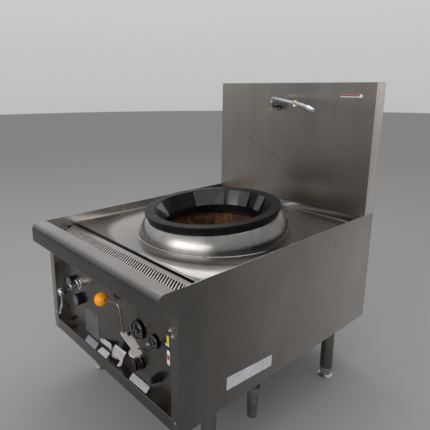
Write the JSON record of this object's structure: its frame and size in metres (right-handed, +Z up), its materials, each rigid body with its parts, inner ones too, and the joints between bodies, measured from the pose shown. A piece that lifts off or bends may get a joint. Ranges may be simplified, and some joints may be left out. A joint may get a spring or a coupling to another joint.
{
  "type": "wok range",
  "caption": "Freestanding gas wok range with a cast ring on a spun collar, front gutter, control recess, splashback, swivel faucet and tube legs.",
  "frame": {"origin": "on the floor, under the middle of the range's outline", "axes": "+Z up, the cook stands at -Y and faces +Y, +X to the cook's right"},
  "size_m": [0.6, 0.836, 0.922],
  "materials": {
    "stainless": "satin brushed stainless sheet, grain along the folds",
    "polished_steel": "spun stainless, polished bright",
    "cast_iron": "black cast iron, seat worn smooth",
    "fired_steel": "heat-browned, rusted surface",
    "chrome": "polished chrome plate",
    "brass": "plain machined brass",
    "copper": "soft copper tube",
    "pipe_steel": "dull grey steel pipe",
    "black_plastic": "black moulded plastic",
    "orange_plastic": "glossy orange moulded ball",
    "rubber": "black rubber washer",
    "zinc": "bright plated steel"
  },
  "bodies": {
    "cabinet": {"left_side_panel": "stainless", "right_side_panel": "stainless", "front_rail": "stainless", "control_panel": "stainless", "front_apron": "stainless", "base_pan": "stainless", "rear_panel": "stainless", "worktop": "stainless", "splashback_shell": "stainless", "splashback_cover": "stainless", "gutter_trough": "stainless", "drain_spigot": "polished_steel", "spun_collar": "polished_steel", "fire_chamber": "fired_steel", "heat_shield": "stainless", "burner_head": "fired_steel", "mixer_tube": "fired_steel", "gas_injector": "brass", "pilot_burner": "brass", "gas_inlet": "pipe_steel", "gas_manifold": "pipe_steel", "burner_feed_pipe": "pipe_steel", "pilot_tube": "copper", "lever_valve": "zinc", "gas_cock": "brass", "igniter_body": "black_plastic", "water_valve_large": "brass", "water_valve_small": "brass", "knob_valves": "brass", "tap_body": "chrome", "tap_ring": "rubber", "water_header": "copper", "tap_feed_pipe": "copper", "faucet_feed_pipe": "copper", "faucet_post": "chrome", "faucet_cap_nut": "brass", "leg_sockets": "pipe_steel", "leg_front_left": "stainless", "leg_front_right": "stainless", "leg_rear_left": "stainless", "leg_rear_right": "stainless"},
    "ring": {"wok_ring": "cast_iron"},
    "strainer": {"gutter_strainer": "stainless"},
    "swing_lever": {"lever_arm": "zinc", "lever_rod": "zinc", "lever_ball": "orange_plastic"},
    "gas_knob": {"gas_knob": "black_plastic"},
    "igniter_button": {"igniter_button": "black_plastic"},
    "large_wheel": {"handwheel_large": "black_plastic"},
    "small_wheel": {"handwheel_small": "black_plastic"},
    "upper_knob": {"upper_knob": "black_plastic"},
    "lower_knob": {"lower_knob": "black_plastic"},
    "tap_lever": {"tap_lever": "chrome"},
    "faucet_inner_arm": {"faucet_arm_1": "chrome"},
    "faucet_outer_arm": {"faucet_arm_2": "chrome", "faucet_nozzle": "chrome"},
    "foot_fl": {"foot_front_left": "zinc"},
    "foot_fr": {"foot_front_right": "zinc"},
    "foot_rl": {"foot_rear_left": "zinc"},
    "foot_rr": {"foot_rear_right": "zinc"}
  },
  "joints": [
    {"name": "ring_lift", "type": "slide", "parent": "cabinet", "child": "ring", "axis": [-0.0296, -0.068, 0.9972], "range_m": [0, 0.1]},
    {"name": "strainer_lift", "type": "slide", "parent": "cabinet", "child": "strainer", "axis": [0, 0, 1], "range_m": [0, 0.06]},
    {"name": "lever_swing", "type": "hinge", "parent": "cabinet", "child": "swing_lever", "pos_m": [0.172, -0.378, 0.337], "axis": [0, 0, 1], "range_deg": [0, 70]},
    {"name": "gas_knob_turn", "type": "hinge", "parent": "cabinet", "child": "gas_knob", "pos_m": [0.126, -0.35, 0.264], "axis": [0, -1, 0], "range_deg": [0, 180]},
    {"name": "igniter_press", "type": "slide", "parent": "cabinet", "child": "igniter_button", "axis": [0, 1, 0], "range_m": [0, 0.004], "stiffness_N_per_m": 400, "springref_m": -0.002},
    {"name": "large_wheel_turn", "type": "hinge", "parent": "cabinet", "child": "large_wheel", "pos_m": [0.121, -0.35, 0.352], "axis": [0, -1, 0], "range_deg": [0, 720]},
    {"name": "small_wheel_turn", "type": "hinge", "parent": "cabinet", "child": "small_wheel", "pos_m": [0.1835, -0.35, 0.3495], "axis": [0, -1, 0], "range_deg": [0, 720]},
    {"name": "upper_knob_turn", "type": "hinge", "parent": "cabinet", "child": "upper_knob", "pos_m": [-0.211, -0.352, 0.359], "axis": [0, -1, 0], "range_deg": [0, 270]},
    {"name": "lower_knob_turn", "type": "hinge", "parent": "cabinet", "child": "lower_knob", "pos_m": [-0.175, -0.352, 0.3165], "axis": [0, -1, 0], "range_deg": [0, 270]},
    {"name": "tap_lever_pull", "type": "hinge", "parent": "cabinet", "child": "tap_lever", "pos_m": [-0.178, -0.399, 0.351], "axis": [-1, 0, 0], "range_deg": [0, 25]},
    {"name": "faucet_base_turn", "type": "hinge", "parent": "cabinet", "child": "faucet_inner_arm", "pos_m": [-0.036, 0.33, 0.855], "axis": [0, 0, 1], "range_deg": [-110, 10]},
    {"name": "faucet_elbow_turn", "type": "hinge", "parent": "faucet_inner_arm", "child": "faucet_outer_arm", "pos_m": [0.131, 0.224, 0.871], "axis": [0, 0, 1], "range_deg": [-75, 60]},
    {"name": "foot_fl_screw", "type": "slide", "parent": "cabinet", "child": "foot_fl", "axis": [0, 0, -1], "range_m": [0, 0.025]},
    {"name": "foot_fr_screw", "type": "slide", "parent": "cabinet", "child": "foot_fr", "axis": [0, 0, -1], "range_m": [0, 0.025]},
    {"name": "foot_rl_screw", "type": "slide", "parent": "cabinet", "child": "foot_rl", "axis": [0, 0, -1], "range_m": [0, 0.025]},
    {"name": "foot_rr_screw", "type": "slide", "parent": "cabinet", "child": "foot_rr", "axis": [0, 0, -1], "range_m": [0, 0.025]}
  ]
}
